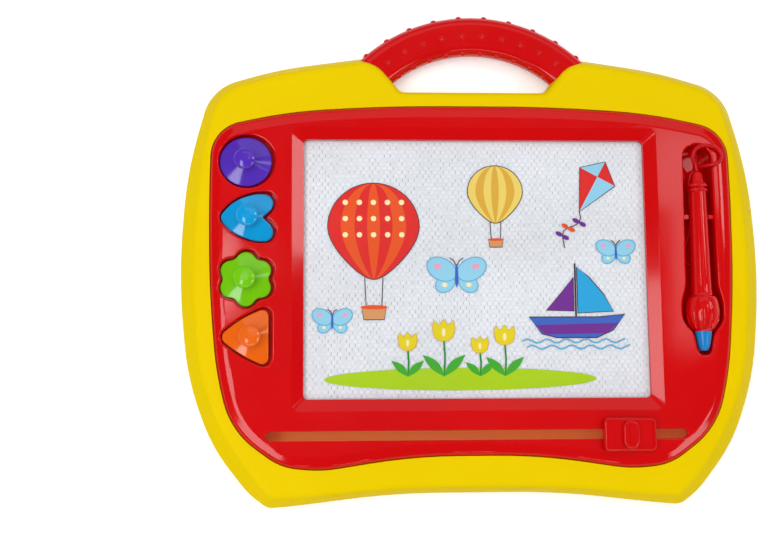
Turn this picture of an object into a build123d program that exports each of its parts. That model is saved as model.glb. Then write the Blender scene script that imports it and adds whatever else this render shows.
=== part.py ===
"""A child's magnetic drawing board: a yellow case round a red face panel, with a sliding eraser,
four lift-out stamps, a tethered pen in its recess and an arched carrying handle.

It lies on its back. X runs to the right, Y towards the handle and Z out of the drawing face.
The origin is at the middle of the whole object's box, on its flat back.
"""

import os
from math import cos, pi, radians, sin, tan

from build123d import *

os.makedirs("parts", exist_ok=True)

# Driving sizes in millimetres: the drawing window and the columns beside it
screen_width = 249.0
screen_height = 187.8
screen_corner = 3.5
bevel_width = 8.6
bevel_outer_corner = 5.5
panel_top_band = 25.0
panel_bottom_band = 39.8
stamp_size = 37.6
stamp_pitch = 42.6
stamp_clearance = 1.6
stamp_edge_band = 6.2
stamp_top_drop = 17.0
stamp_web = 11.7
pen_bulb_radius = 12.1
pen_side_room = 2.1
pen_edge_band = 10.3
pen_web = 16.2

# Driving sizes: the yellow rim and the handle
rim_side = 21.0
rim_top = 13.1
rim_bottom = 26.5
gap_half_width = 53.5
shoulder_half_width = 72.5
shoulder_rise = 27.0
finger_gap = 28.9
handle_width = 29.0
handle_depth = 16.4
handle_corner = 7.6
handle_mid_radius = 105.4
handle_half_angle = 54.0
handle_end_fit_angle = 1.0
handle_end_wall_angle = 2.0
handle_screw_back_angle = 3.6
bump_radius = 2.7
bump_rise = 1.2
bump_inner_step = 8.0
bump_middle_step = 8.2
bump_outer_step = 9.2
bump_middle_drop = 1.5
bump_tilt = 20.0
bumps_a_side = 5

# Driving heights above the flat back
case_height = 22.0
edge_height = 12.0
parting_height = 9.0
panel_proud = 4.0
screen_depth = 8.0
well_depth = 9.0
recess_depth = 14.8
stamp_height = 20.0

# Walls, rounds and clearances
case_wall = 2.4
case_back_round = 4.5
case_edge_round = 4.5
ridge_round = 5.0
panel_wall = 2.6
crown_drop = 2.4
crown_width = 8.0
crown_side_round = 4.0
crown_top_round = 12.0
thin_wall = 2.0
panel_gap = 0.4
well_lip_round = 1.3
recess_lip_round = 1.5
window_lip_round = 2.0
slot_lip_round = 0.8
flange_width = 4.4
flange_thickness = 2.0
skirt_depth = 12.0
running_gap = 0.3
seat_gap = 0.1
handle_fit = 0.2
overrun = 2.0

# The screen's layers
front_film_thickness = 0.5
cell_thickness = 2.0
back_film_thickness = 0.4
seal_thickness = 0.6
lip_thickness = 3.4
screen_border = 6.0
seal_setback = 1.5

# The eraser
slot_width = 6.7
slot_drop = 25.6
slot_left_reach = 26.0
slot_right_reach = 23.7
knob_length = 37.0
knob_width = 23.0
knob_height = 8.0
knob_corner = 3.6
knob_round = 1.6
knob_rest_back = 43.0
grip_width = 11.4
grip_length = 20.0
grip_rise = 3.0
grip_dish_depth = 0.9
grip_dish_margin = 2.4
neck_length = 16.0
neck_clearance = 0.5
bar_width = 14.0
bar_height = 6.2
magnet_gap = 0.6
magnet_thickness = 2.3
magnet_width = 9.0
magnet_lip = 1.2
clamp_thickness = 2.5
clamp_width = 14.0
clamp_setback = 1.5
clamp_screw_inset = 3.6
clamp_screws_a_side = 3
rail_thickness = 2.0

# Screws
case_screw_radius = 1.4
case_screw_head_radius = 2.9
case_screw_head_height = 2.0
case_screw_length = 13.0
case_screw_sink = 5.0
case_post_radius = 4.2
front_post_radius = 3.3
small_screw_radius = 1.0
small_screw_head_radius = 1.9
small_screw_head_height = 1.4
small_screw_length = 7.0
small_post_radius = 3.0
screw_fit = 0.05

# The stamps
stamp_rim_height = 4.0
stamp_edge_round = 0.9
stamp_cone_reach = 30.0
stamp_cone_angle = 19.0
stamp_neck_run = 2.4
stamp_neck_rise = 1.5
stamp_neck_radius = 4.6
stamp_knob_radius = 6.2
stamp_knob_height = 9.6
stamp_knob_dimple_radius = 2.2
stamp_knob_dimple_depth = 0.5
stamp_knob_flat_radius = 3.0
stamp_magnet_thickness = 1.5
stamp_hollow_depth = 1.2
stamp_rest_shift = 0.9
flower_petals = 6

# The pen and its recess
pen_tip_length = 13.8
pen_tip_radius = 6.05
pen_tip_end_radius = 2.2
pen_bulb_length = 12.8
pen_shoulder_length = 24.9
pen_neck_radius = 7.2
pen_barrel_length = 64.0
pen_tail_radius = 6.2
pen_cap_length = 15.4
pen_cap_top_radius = 4.9
pen_cap_end_radius = 2.5
pen_ring_radius = 7.3
pen_ring_round = 1.4
pen_ring_step = 3.5
pen_bore_radius = 4.2
pen_plug_length = 8.0
pen_tip_drop = 60.7
pen_magnet_radius = 2.6
pen_magnet_length = 7.0
flute_count = 12
flute_bottom_drop = 0.13
flute_bottom_shift = 2.0
flute_radius = 2.6
flute_run_radius = 20.0
flute_neck_angle = 9.0
flute_tip_angle = 40.0
recess_tail_room = 20.2
recess_tip_room = 3.0
recess_barrel_room = 3.9
recess_end_half_width = 4.4
cradle_thickness = 3.0
cradle_channel = 9.6
cradle_place = 46.0

# The tether: its route is a hand-chosen list of points further down
cord_diameter = 3.0
cord_arc_share = 0.45
knot_radius = 3.4

cord_route = [
    (165.4, 59.9, 23.6),
    (165.4, 64.9, 23.6),
    (162.0, 68.9, 25.0),
    (162.3, 74.9, 26.8),
    (167.6, 78.9, 28.2),
    (175.6, 78.7, 28.6),
    (182.4, 74.9, 28.4),
    (182.8, 68.0, 28.4),
    (177.0, 64.5, 28.6),
    (170.2, 64.7, 22.8),
    (165.0, 62.9, 16.6),
    (162.2, 54.9, 13.2),
    (162.4, 41.3, 12.8),
    (162.7, 28.3, 12.8),
    (161.6, 15.3, 12.8),
    (156.9, 3.3, 12.8),
    (157.0, -3.9, 12.8),
    (162.1, -9.1, 12.8),
    (169.4, -9.0, 12.8),
    (174.3, -3.8, 12.8),
    (173.9, 3.5, 12.8),
    (169.3, 15.3, 12.8),
    (168.2, 30.3, 12.8),
    (168.9, 57.3, 12.8),
    (168.9, 82.8, 12.8),
]
cord_end = cord_route[-1]

# Widths and heights that follow from the sizes above
well_size = stamp_size + 2 * stamp_clearance
bulb_recess_half_width = pen_bulb_radius + pen_side_room
stamp_side_width = bevel_width + stamp_web + well_size + stamp_edge_band
pen_side_width = bevel_width + pen_web + 2 * bulb_recess_half_width + pen_edge_band
panel_half_width = (screen_width + stamp_side_width + pen_side_width) / 2
screen_x = (stamp_side_width - pen_side_width) / 2
handle_x = screen_x
board_half_width = panel_half_width + rim_side
panel_half_height = (panel_top_band + screen_height + panel_bottom_band) / 2
frame_half_height = panel_half_height + (rim_top + rim_bottom) / 2
face_height = case_height + panel_proud
screen_surface = face_height - screen_depth
laminate_base = screen_surface - front_film_thickness - cell_thickness - back_film_thickness
well_floor = face_height - well_depth
recess_floor = face_height - recess_depth
magnet_top = laminate_base - magnet_gap
bar_top = magnet_top - magnet_thickness
bar_base = bar_top - bar_height
skirt_base = case_height - skirt_depth + flange_thickness
flange_base = skirt_base - flange_thickness

# Places measured from the window's middle, before the datum is known
panel_rise = (panel_top_band - panel_bottom_band) / 2
frame_rise = panel_rise + (rim_top - rim_bottom) / 2
gap_rise = frame_rise + frame_half_height
handle_inner_radius = handle_mid_radius - handle_width / 2
handle_centre_rise = gap_rise + finger_gap - handle_inner_radius

# Outlines: each row is a corner's x and y and how much of its shorter run its arc takes
panel_shares = [
    (0.300, 1.000, 0.49),
    (0.697, 0.964, 0.49),
    (0.995, 0.865, 0.44),
    (1.001, 0.499, 0.47),
    (0.996, -0.050, 0.46),
    (0.967, -0.532, 0.47),
    (0.910, -0.856, 0.49),
    (0.726, -1.058, 0.42),
    (0.576, -1.078, 0.38),
    (0.233, -1.000, 0.49),
]
case_shares = [
    (0.669, 1.119, 0.43),
    (0.906, 1.016, 0.37),
    (0.986, 0.586, 0.49),
    (1.008, 0.055, 0.49),
    (0.974, -0.437, 0.49),
    (0.889, -0.773, 0.49),
    (0.765, -0.998, 0.48),
    (0.700, -1.067, 0.23),
    (0.595, -1.054, 0.48),
    (0.277, -1.000, 0.49),
]
ridge_shares = [
    (0.660, 1.072, 0.43),
    (0.875, 0.978, 0.37),
    (0.934, 0.572, 0.49),
    (0.955, 0.065, 0.49),
    (0.924, -0.421, 0.49),
    (0.848, -0.708, 0.49),
    (0.742, -0.927, 0.48),
    (0.687, -1.010, 0.23),
    (0.583, -1.006, 0.48),
    (0.275, -0.967, 0.49),
]
gap_corner_share = 0.10
shoulder_corner_share = 0.39
ridge_gap_drop_share = 0.18
ridge_shoulder_drop_share = 0.45
ridge_shoulder_out_share = 1.03
round_shares = (0.995, 0.955)
heart_shares = [
    (0.93, 0.31, 0.49),
    (1.03, 0.60, 0.49),
    (0.84, 0.915, 0.49),
    (0.30, 0.92, 0.49),
    (-0.50, 0.64, 0.49),
]
heart_notch_shares = (0.58, 0.0, 0.15)
heart_tip_shares = (-1.10, 0.0, 0.31)
petal_shares = (1.335, 0.75)
valley_shares = (0.838, 0.20)
triangle_shares = [
    (0.91, 1.17, 0.345),
    (-0.104, 0.705, 0.49),
    (-1.03, 0.0, 0.32),
    (-0.104, -0.705, 0.49),
    (0.91, -1.17, 0.345),
]
well_shift_shares = {"round": (0, 0), "heart": (0.029, 0.048), "flower": (0.015, 0), "triangle": (0, 0.035)}


def scaled(shares, half_width, half_height, middle_y):
    """Corners of an outline from its table of shares."""
    return [(x * half_width, middle_y + y * half_height, ease) for x, y, ease in shares]


def both_sides(half):
    """A whole outline from its right half."""
    return half + [(-x, y, ease) for x, y, ease in reversed(half)]


def eased_face(corners, growth=0):
    """A flat face whose straight runs are joined by tangent arcs, moved out by a growth."""
    points = [Vector(*corner[:2]) for corner in corners]
    area = sum(point.cross(points[index - 1]).Z for index, point in enumerate(points))
    outline = []
    radii = []
    for index, point in enumerate(points):
        before = points[index - 1] - point
        after = points[(index + 1) % len(points)] - point
        turn = pi - radians(before.get_angle(after))
        bulges = (before.cross(after).Z > 0) == (area > 0)
        outward = (before.normalized() + after.normalized()).normalized() * (-1 if bulges else 1)
        outline.append(point + outward * (growth / cos(turn / 2)))
        radius = corners[index][2] * min(before.length, after.length) / tan(turn / 2)
        radii.append(radius + growth if bulges else max(radius - growth, 0))
    with BuildSketch() as face:
        with BuildLine():
            FilletPolyline(*outline, radius=radii, close=True)
        make_face()
    return face.sketch


def case_corners(shares, gap_drop, shoulder_drop, shoulder_out, middle_y):
    """The yellow case seen from the front, with the handle's notch over the screen's middle."""
    gap_y = middle_y + frame_half_height
    notch = [
        (gap_half_width, gap_y - gap_drop, gap_corner_share),
        (shoulder_half_width * shoulder_out, gap_y + shoulder_rise - shoulder_drop, shoulder_corner_share),
    ]
    right_notch = [(screen_x + x, y, ease) for x, y, ease in notch]
    left_notch = [(screen_x - x, y, ease) for x, y, ease in reversed(notch)]
    sides = scaled(shares, board_half_width, frame_half_height, middle_y)
    return right_notch + both_sides(sides) + left_notch


# The datum: the box runs from the feet to the bumps on top of the handle
bump_sink = bump_radius - bump_rise
bump_reach = handle_corner - bump_sink
bump_side = handle_width / 2 - handle_corner + bump_reach * cos(radians(bump_tilt))
bump_ring_radius = handle_mid_radius + bump_side
highest_rise = handle_centre_rise + bump_ring_radius * cos(radians(bump_outer_step / 2)) + bump_radius
lowest_rise = eased_face(case_corners(case_shares, 0, 0, 1, frame_rise)).bounding_box().min.Y
screen_y = -(highest_rise + lowest_rise) / 2
panel_y = screen_y + panel_rise
frame_y = screen_y + frame_rise
gap_y = screen_y + gap_rise
handle_y = screen_y + handle_centre_rise
handle_z = handle_depth / 2 + case_wall + running_gap

edge_corners = case_corners(case_shares, 0, 0, 1, frame_y)
ridge_corners = case_corners(
    ridge_shares,
    rim_top * ridge_gap_drop_share,
    rim_top * ridge_shoulder_drop_share,
    ridge_shoulder_out_share,
    frame_y,
)
panel_corners = both_sides(scaled(panel_shares, panel_half_width, panel_half_height, panel_y))


def handle_solid(width, depth, corner, half_angle):
    """An arched bar of rounded section, turned about the handle's centre."""
    arch_plane = Plane(
        origin=(handle_x, handle_y, handle_z),
        x_dir=(cos(radians(90 - half_angle)), sin(radians(90 - half_angle)), 0),
        z_dir=(sin(radians(90 - half_angle)), -cos(radians(90 - half_angle)), 0),
    )
    with BuildPart() as arch:
        with BuildSketch(arch_plane):
            with Locations((handle_mid_radius, 0)):
                RectangleRounded(width, depth, corner)
        revolve(axis=Axis((handle_x, handle_y, handle_z), (0, 0, 1)), revolution_arc=2 * half_angle)
    return arch.part


handle_passage = handle_solid(
    handle_width + 2 * handle_fit,
    handle_depth + 2 * handle_fit,
    handle_corner + handle_fit,
    handle_half_angle + handle_end_fit_angle,
)

# Case screws: two through the handle's ends, the rest round the rim
handle_screw_angle = radians(handle_half_angle - handle_screw_back_angle)
handle_screw_reach = handle_mid_radius * sin(handle_screw_angle)
handle_screw_y = handle_y + handle_mid_radius * cos(handle_screw_angle)
handle_screw_places = [(handle_x + side * handle_screw_reach, handle_screw_y) for side in (-1, 1)]
rim_screw_shares = [(0.931, 0.36), (0.915, -0.28), (0.70, -0.93), (0.62, 1.0)]
rim_screw_places = [
    (side * across * board_half_width, frame_y + up * frame_half_height)
    for across, up in rim_screw_shares
    for side in (-1, 1)
]
case_screw_places = rim_screw_places + handle_screw_places

# The rear cover: a flat back with a low wall, screw posts and the eraser's rails
bar_low_end = screen_y - screen_height / 2 - slot_drop - (slot_width + magnet_lip) / 2
bar_high_end = screen_y + screen_height / 2 + clamp_setback + clamp_width / 2
slot_y = screen_y - screen_height / 2 - slot_drop
slot_left = screen_x - screen_width / 2 - slot_left_reach
slot_right = screen_x + screen_width / 2 + slot_right_reach
slot_middle = (slot_left + slot_right) / 2
slot_length = slot_right - slot_left
rail_top = bar_base - running_gap
wall_setback = running_gap + rail_thickness / 2

with BuildPart() as rear_cover:
    with BuildSketch():
        add(eased_face(edge_corners))
    extrude(amount=parting_height)
    fillet(rear_cover.faces().sort_by(Axis.Z)[0].edges(), radius=case_back_round)
    with BuildSketch(Plane.XY.offset(case_wall)):
        add(eased_face(edge_corners, -case_wall))
    extrude(amount=parting_height, mode=Mode.SUBTRACT)
    with BuildSketch(Plane.XY.offset(case_wall)):
        add(eased_face(panel_corners, flange_width / 2))
        add(eased_face(panel_corners, flange_width / 2 - thin_wall), mode=Mode.SUBTRACT)
    extrude(amount=flange_base - case_wall)
    add(handle_passage, mode=Mode.SUBTRACT)
    with BuildSketch(Plane.XY.offset(case_wall)):
        with Locations(*case_screw_places):
            Circle(case_post_radius)
    extrude(amount=parting_height - case_wall)
    with BuildSketch(Plane.XY.offset(case_wall)):
        for rail_y in (slot_y + knob_width / 2, bar_high_end - rail_thickness):
            with Locations((slot_middle, rail_y)):
                Rectangle(slot_length, rail_thickness)
    extrude(amount=rail_top - case_wall)
    with BuildSketch(Plane.XY.offset(case_wall)):
        for wall_y in (bar_low_end - wall_setback, bar_high_end + wall_setback):
            with Locations((slot_middle, wall_y)):
                Rectangle(slot_length, rail_thickness)
    extrude(amount=rail_top - case_wall + bar_height / 2)
    with BuildSketch():
        with Locations(*case_screw_places):
            Circle(case_screw_radius + screw_fit)
    extrude(amount=parting_height, mode=Mode.SUBTRACT)
    with BuildSketch():
        with Locations(*case_screw_places):
            Circle(case_screw_head_radius + screw_fit)
    extrude(amount=case_screw_sink, mode=Mode.SUBTRACT)
rear_cover.part.label = "rear_cover"
export_step(rear_cover.part, "parts/rear_cover.step")

# The front frame: the yellow rim, open in the middle for the face panel
with BuildPart() as frame_inside:
    with BuildSketch(Plane.XY.offset(parting_height)):
        add(eased_face(edge_corners, -case_wall))
    extrude(amount=edge_height - parting_height)
    with BuildSketch(Plane.XY.offset(edge_height)):
        add(eased_face(edge_corners, -case_wall))
    with BuildSketch(Plane.XY.offset(case_height - case_wall)):
        add(eased_face(ridge_corners, -case_wall))
    loft(ruled=True)

with BuildPart() as front_frame:
    with BuildSketch(Plane.XY.offset(parting_height)):
        add(eased_face(edge_corners))
    extrude(amount=edge_height - parting_height)
    with BuildSketch(Plane.XY.offset(edge_height)):
        add(eased_face(edge_corners))
    with BuildSketch(Plane.XY.offset(case_height)):
        add(eased_face(ridge_corners))
    loft(ruled=True)
    fillet(front_frame.faces().sort_by(Axis.Z)[-1].edges(), radius=ridge_round)
    edge_line = front_frame.edges().filter_by_position(Axis.Z, edge_height - seat_gap, edge_height + seat_gap)
    fillet(edge_line, radius=case_edge_round)
    add(frame_inside.part, mode=Mode.SUBTRACT)
    add(handle_passage, mode=Mode.SUBTRACT)
    with BuildSketch(Plane.XY.offset(skirt_base)):
        add(eased_face(panel_corners, panel_gap + thin_wall))
    extrude(amount=case_height - case_wall - skirt_base + case_wall / 2)
    with BuildSketch(Plane.XY.offset(parting_height)):
        with Locations(*case_screw_places):
            Circle(front_post_radius)
    extrude(amount=case_height - case_wall - parting_height)
    with BuildSketch(Plane.XY.offset(skirt_base - overrun)):
        add(eased_face(panel_corners, panel_gap))
    extrude(amount=case_height, mode=Mode.SUBTRACT)
    with BuildSketch(Plane.XY.offset(parting_height)):
        with Locations(*case_screw_places):
            Circle(case_screw_radius + screw_fit)
    extrude(amount=case_screw_sink + case_screw_length + running_gap - parting_height, mode=Mode.SUBTRACT)
front_frame.part.label = "front_frame"
export_step(front_frame.part, "parts/front_frame.step")

# Places on the face panel
well_x = screen_x - screen_width / 2 - bevel_width - stamp_web - well_size / 2
well_top_y = screen_y + screen_height / 2 - stamp_top_drop
stamp_names = ["round", "heart", "flower", "triangle"]
well_centres = {}
for index, name in enumerate(stamp_names):
    shift_x, shift_y = well_shift_shares[name]
    well_y = well_top_y - index * stamp_pitch + shift_y * stamp_size
    well_centres[name] = (well_x + shift_x * stamp_size, well_y)
pen_x = panel_half_width - pen_edge_band - bulb_recess_half_width
pen_tip_y = screen_y - pen_tip_drop
pen_z = recess_floor + running_gap + pen_bulb_radius
tip_base_y = pen_tip_y + pen_tip_length
bulb_y = tip_base_y + pen_bulb_length
neck_y = bulb_y + pen_shoulder_length
cap_y = neck_y + pen_barrel_length
tail_y = cap_y + pen_cap_length
cradle_y = neck_y + cradle_place
recess_half_width = pen_neck_radius + recess_barrel_room
laminate_width = screen_width + 2 * screen_border
laminate_height = screen_height + 2 * screen_border
bevel_drop = screen_depth - lip_thickness - seal_thickness
clamp_screw_reach = screen_height / 2 + clamp_setback + clamp_width - clamp_screw_inset
clamp_screw_rows = [screen_y + side * clamp_screw_reach for side in (-1, 1)]
clamp_screw_step = (screen_width - 2 * screen_border) / (clamp_screws_a_side - 1)
clamp_screw_places = [
    (screen_x + (index - (clamp_screws_a_side - 1) / 2) * clamp_screw_step, row)
    for row in clamp_screw_rows
    for index in range(clamp_screws_a_side)
]


def stamp_face(name, growth=0):
    """The outline of a stamp round its own middle, moved out by a growth."""
    half = stamp_size / 2
    if name == "round":
        with BuildSketch() as disc:
            Ellipse(half * round_shares[0] + growth, half * round_shares[1] + growth)
        return disc.sketch
    if name == "triangle":
        return eased_face(scaled(triangle_shares, half, half, 0), growth)
    if name == "heart":
        upper = scaled(heart_shares, half, half, 0)
        lower = [(x, -y, ease) for x, y, ease in reversed(upper)]
        notch = scaled([heart_notch_shares], half, half, 0)
        tip = scaled([heart_tip_shares], half, half, 0)
        return eased_face(notch + upper + tip + lower, growth)
    corners = []
    for index in range(flower_petals):
        for turn, (reach, ease) in ((0, petal_shares), (0.5, valley_shares)):
            angle = pi / 2 + (index + turn) * 2 * pi / flower_petals
            corners.append((reach * half * cos(angle), reach * half * sin(angle), ease))
    return eased_face(corners, growth)


def pen_recess_face(growth):
    """The pen's recess seen from the front, moved out by a growth."""
    half = [
        (recess_half_width - recess_barrel_room / 5, tail_y + recess_tail_room, 0.49),
        (recess_half_width + recess_barrel_room / 10, bulb_y + pen_shoulder_length * 0.8, 0.30),
        (bulb_recess_half_width * 1.06, bulb_y + pen_shoulder_length * 0.34, 0.45),
        (bulb_recess_half_width * 1.05, bulb_y - pen_bulb_length * 0.40, 0.40),
        (pen_tip_radius + pen_side_room / 2, tip_base_y - recess_tip_room / 2, 0.30),
        (recess_end_half_width, pen_tip_y - recess_tip_room, 0.40),
    ]
    with BuildSketch() as sketch:
        with Locations((pen_x, 0)):
            add(eased_face(both_sides(half), growth))
    return sketch.sketch


def window_face(growth, corner):
    """A rounded rectangle about the drawing window."""
    with BuildSketch() as sketch:
        with Locations((screen_x, screen_y)):
            RectangleRounded(screen_width + 2 * growth, screen_height + 2 * growth, corner)
    return sketch.sketch


def window_funnel(growth, base_height):
    """The bevelled window's slope, with its walls moved out by a growth."""
    with BuildPart() as funnel:
        with BuildSketch(Plane.XY.offset(base_height)):
            add(window_face(growth, screen_corner + growth))
        with BuildSketch(Plane.XY.offset(base_height + bevel_drop)):
            add(window_face(growth + bevel_width, bevel_outer_corner + growth))
        loft(ruled=True)
    return funnel.part


# The face panel: a crowned red plate whose wells, recess, window and slot hang below it
well_base = well_floor - thin_wall
recess_base = recess_floor - thin_wall
lip_base = screen_surface + seal_thickness

crown_base = face_height - crown_drop


def is_lip(edge):
    """Whether an edge runs round the mouth of an opening in the face."""
    return edge.bounding_box().min.Z > crown_base


with BuildPart() as panel_inside:
    with BuildSketch(Plane.XY.offset(flange_base)):
        add(eased_face(panel_corners, -panel_wall))
    extrude(amount=crown_base - panel_wall - flange_base)
    with BuildSketch(Plane.XY.offset(crown_base - panel_wall)):
        add(eased_face(panel_corners, -panel_wall))
    with BuildSketch(Plane.XY.offset(face_height - panel_wall)):
        add(eased_face(panel_corners, -panel_wall - crown_width))
    loft(ruled=True)

with BuildPart() as face_panel:
    with BuildSketch(Plane.XY.offset(flange_base)):
        add(eased_face(panel_corners))
    extrude(amount=face_height - flange_base)
    top_face = face_panel.faces().sort_by(Axis.Z)[-1]
    chamfer(top_face.edges(), length=crown_width, length2=crown_drop, reference=top_face)
    crown_edges = face_panel.edges().filter_by_position(Axis.Z, crown_base - seat_gap, crown_base + seat_gap)
    fillet(crown_edges, radius=crown_side_round)
    fillet(face_panel.faces().sort_by(Axis.Z)[-1].edges(), radius=crown_top_round)
    add(panel_inside.part, mode=Mode.SUBTRACT)
    with BuildSketch(Plane.XY.offset(flange_base)):
        add(eased_face(panel_corners, flange_width))
        add(eased_face(panel_corners, -panel_wall), mode=Mode.SUBTRACT)
        with Locations(*case_screw_places):
            Circle(front_post_radius + panel_gap, mode=Mode.SUBTRACT)
    extrude(amount=flange_thickness)
    # The walls that hang below the face: wells, pen recess, window lip and clamp posts
    for name, centre in well_centres.items():
        with BuildSketch(Plane.XY.offset(well_base)):
            with Locations(centre):
                add(stamp_face(name, stamp_clearance + thin_wall))
        extrude(amount=face_height - panel_wall - well_base)
    with BuildSketch(Plane.XY.offset(recess_base)):
        add(pen_recess_face(thin_wall))
    extrude(amount=face_height - panel_wall - recess_base)
    add(window_funnel(panel_wall, lip_base + lip_thickness - panel_wall / 2))
    with BuildSketch(Plane.XY.offset(lip_base)):
        add(window_face(screen_border, screen_corner + screen_border))
    extrude(amount=lip_thickness)
    with BuildSketch(Plane.XY.offset(laminate_base)):
        with Locations(*clamp_screw_places):
            Circle(small_post_radius)
    extrude(amount=face_height - panel_wall - laminate_base)
    # The openings
    for name, centre in well_centres.items():
        with BuildSketch(Plane.XY.offset(well_floor)):
            with Locations(centre):
                add(stamp_face(name, stamp_clearance))
        extrude(amount=face_height, mode=Mode.SUBTRACT)
        fillet(face_panel.edges(Select.LAST).filter_by(is_lip), radius=well_lip_round)
    with BuildSketch(Plane.XY.offset(recess_floor)):
        add(pen_recess_face(0))
    extrude(amount=face_height, mode=Mode.SUBTRACT)
    fillet(face_panel.edges(Select.LAST).filter_by(is_lip), radius=recess_lip_round)
    add(window_funnel(0, lip_base + lip_thickness), mode=Mode.SUBTRACT)
    fillet(face_panel.edges(Select.LAST).filter_by(is_lip), radius=window_lip_round)
    with BuildSketch(Plane.XY.offset(lip_base)):
        add(window_face(0, screen_corner))
    extrude(amount=lip_thickness, mode=Mode.SUBTRACT)
    with BuildSketch(Plane.XY.offset(well_base)):
        with Locations((slot_middle, slot_y)):
            SlotOverall(slot_length, slot_width)
    extrude(amount=face_height, mode=Mode.SUBTRACT)
    fillet(face_panel.edges(Select.LAST).filter_by(is_lip), radius=slot_lip_round)
    with BuildSketch(Plane.XY.offset(laminate_base)):
        with Locations(*clamp_screw_places):
            Circle(small_screw_radius + screw_fit)
    extrude(amount=small_screw_length, mode=Mode.SUBTRACT)
    # The cradle that holds the pen's barrel level, with a channel for the cord under it
    with BuildSketch(Plane.XZ.offset(-cradle_y - cradle_thickness / 2)):
        with Locations((pen_x, (recess_floor + pen_z) / 2)):
            Rectangle(2 * recess_half_width, pen_z - recess_floor)
        with Locations((pen_x, pen_z)):
            Circle(pen_neck_radius + running_gap, mode=Mode.SUBTRACT)
        with Locations((pen_x, (recess_floor + pen_z) / 2)):
            Rectangle(cradle_channel, pen_z - recess_floor, mode=Mode.SUBTRACT)
    extrude(amount=cradle_thickness)
    with BuildSketch(Plane.XZ.offset(-cord_end[1])):
        with Locations((cord_end[0], cord_end[2])):
            Circle(cord_diameter / 2 + screw_fit)
    extrude(amount=recess_half_width, mode=Mode.SUBTRACT)
face_panel.part.label = "face_panel"
export_step(face_panel.part, "parts/face_panel.step")

# The handle: two moulded halves, hollow inside, with grip bumps on the front half
handle_inside = handle_solid(
    handle_width - 2 * thin_wall,
    handle_depth - 2 * thin_wall,
    handle_corner - thin_wall,
    handle_half_angle - handle_end_wall_angle,
)
bump_side_z = handle_z + handle_depth / 2 - handle_corner + bump_reach * sin(radians(bump_tilt))
bump_rows = [
    (-bump_side, bump_side_z, bump_inner_step),
    (-bump_middle_drop, handle_z + handle_depth / 2 - bump_sink, bump_middle_step),
    (bump_side, bump_side_z, bump_outer_step),
]
bump_places = []
for offset_out, bump_z, step in bump_rows:
    for index in range(2 * bumps_a_side):
        angle = radians((index - bumps_a_side + 0.5) * step)
        ring = handle_mid_radius + offset_out
        bump_places.append((handle_x + ring * sin(angle), handle_y + ring * cos(angle), bump_z))


def handle_half(upper):
    """One half of the handle, with its screw post tubes."""
    with BuildPart() as half:
        add(handle_solid(handle_width, handle_depth, handle_corner, handle_half_angle))
        add(handle_inside, mode=Mode.SUBTRACT)
        with BuildSketch(Plane.XY.offset(handle_z - handle_depth / 2 + thin_wall / 2)):
            with Locations(*handle_screw_places):
                Circle(case_post_radius + handle_fit + thin_wall)
        extrude(amount=handle_depth - thin_wall)
        with BuildSketch():
            with Locations(*handle_screw_places):
                Circle(case_post_radius + handle_fit)
        extrude(amount=case_height, mode=Mode.SUBTRACT)
        split(bisect_by=Plane.XY.offset(handle_z), keep=Keep.TOP if upper else Keep.BOTTOM)
        if upper:
            with Locations(*bump_places):
                Sphere(bump_radius)
            add(handle_inside, mode=Mode.SUBTRACT)
    return half.part


handle_front = handle_half(True)
handle_front.label = "handle_front"
export_step(handle_front, "parts/handle_front.step")
handle_rear = handle_half(False)
handle_rear.label = "handle_rear"
export_step(handle_rear, "parts/handle_rear.step")


def screen_layer(label, base, thickness):
    """One sheet of the screen, which reaches under the window's lip."""
    with BuildPart() as layer:
        with BuildSketch(Plane.XY.offset(base)):
            with Locations((screen_x, screen_y)):
                Rectangle(laminate_width, laminate_height)
        extrude(amount=thickness)
    layer.part.label = label
    export_step(layer.part, "parts/" + label + ".step")


# The screen: clear film, cells and back film, taped under the lip
screen_layer("screen_back_film", laminate_base, back_film_thickness)
cell_base = laminate_base + back_film_thickness
screen_layer("screen_cells", cell_base, cell_thickness)
film_base = cell_base + cell_thickness
screen_layer("screen_front_film", film_base, front_film_thickness)

with BuildPart() as screen_seal:
    with BuildSketch(Plane.XY.offset(screen_surface)):
        with Locations((screen_x, screen_y)):
            Rectangle(laminate_width, laminate_height)
        add(window_face(seal_setback, screen_corner), mode=Mode.SUBTRACT)
    extrude(amount=seal_thickness)
screen_seal.part.label = "screen_seal"
export_step(screen_seal.part, "parts/screen_seal.step")

# The clamps: strips above and below the window that press the screen up under the lip
clamp_base = laminate_base - clamp_thickness
clamps = {"lower_clamp": -1, "upper_clamp": 1}
for label, side in clamps.items():
    clamp_y = screen_y + side * (screen_height / 2 + clamp_setback + clamp_width / 2)
    with BuildPart() as clamp:
        with BuildSketch(Plane.XY.offset(clamp_base)):
            with Locations((screen_x, clamp_y)):
                Rectangle(laminate_width, clamp_width)
        extrude(amount=clamp_thickness)
        with BuildSketch(Plane.XY.offset(clamp_base)):
            with Locations(*clamp_screw_places):
                Circle(small_screw_radius + screw_fit)
        extrude(amount=clamp_thickness, mode=Mode.SUBTRACT)
        with BuildSketch(Plane.XY.offset(clamp_base)):
            with Locations(*clamp_screw_places):
                Circle(small_screw_head_radius + screw_fit)
        extrude(amount=small_screw_head_height + seat_gap, mode=Mode.SUBTRACT)
    clamp.part.label = label
    export_step(clamp.part, "parts/" + label + ".step")


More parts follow.
